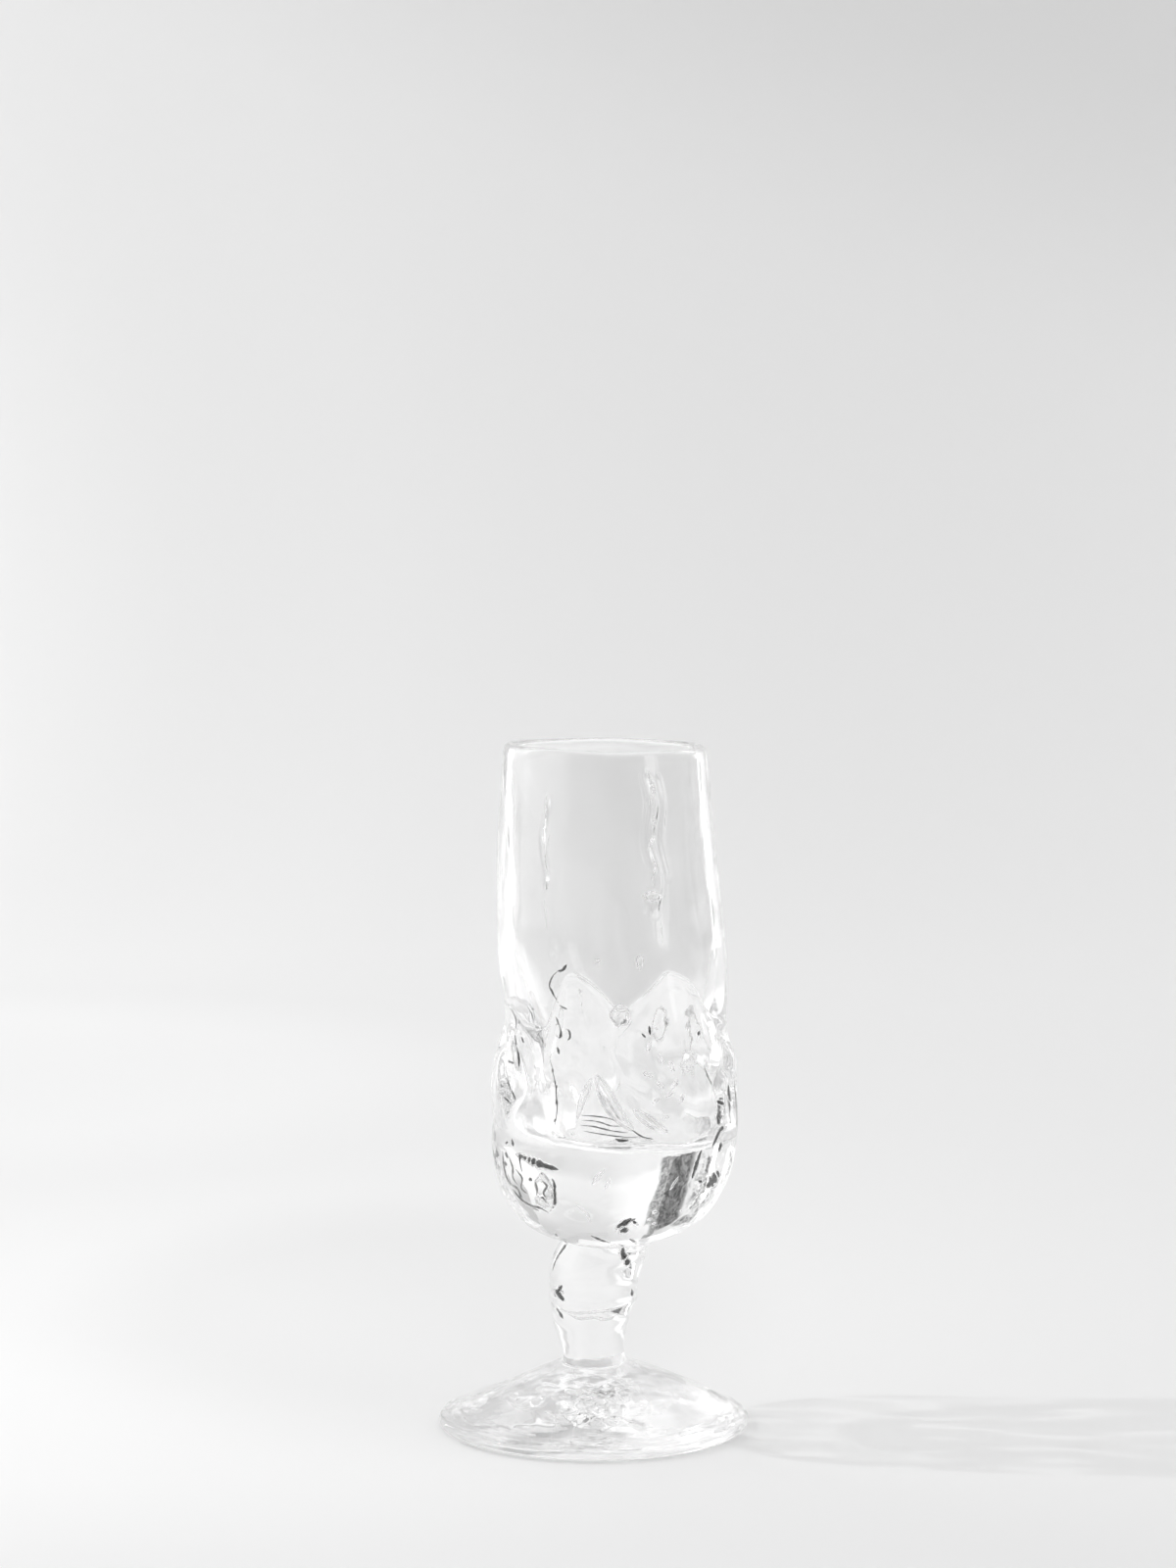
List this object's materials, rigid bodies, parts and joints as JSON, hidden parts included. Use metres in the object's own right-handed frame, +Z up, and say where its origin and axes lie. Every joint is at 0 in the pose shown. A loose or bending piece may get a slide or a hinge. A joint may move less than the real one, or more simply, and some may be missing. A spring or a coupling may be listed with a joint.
{
  "type": "goblet",
  "caption": "Hand-blown clear glass goblet with a straight open bowl, thick lobed lower bowl, knopped stem and domed round foot.",
  "frame": {"origin": "centre of the foot on the surface that it stands on", "axes": "+Z up along the stem, -Y towards the viewer of the picture, +X to the viewer's right, where the bowl stands off centre"},
  "size_m": [0.0724, 0.0724, 0.16],
  "materials": {
    "bowl_glass": "clear, fire-polished",
    "gather_glass": "clear, thick, with trapped air",
    "stem_glass": "clear, tooled",
    "foot_glass": "clear, tooled"
  },
  "bodies": {
    "root": {"bowl": "bowl_glass", "base_gather": "gather_glass", "lobe_right": "gather_glass", "lobe_back_right": "gather_glass", "lobe_back_left": "gather_glass", "lobe_left": "gather_glass", "lobe_front_left": "gather_glass", "lobe_front_right": "gather_glass", "upper_knop": "stem_glass", "lower_knop": "stem_glass", "foot": "foot_glass"}
  },
  "joints": []
}
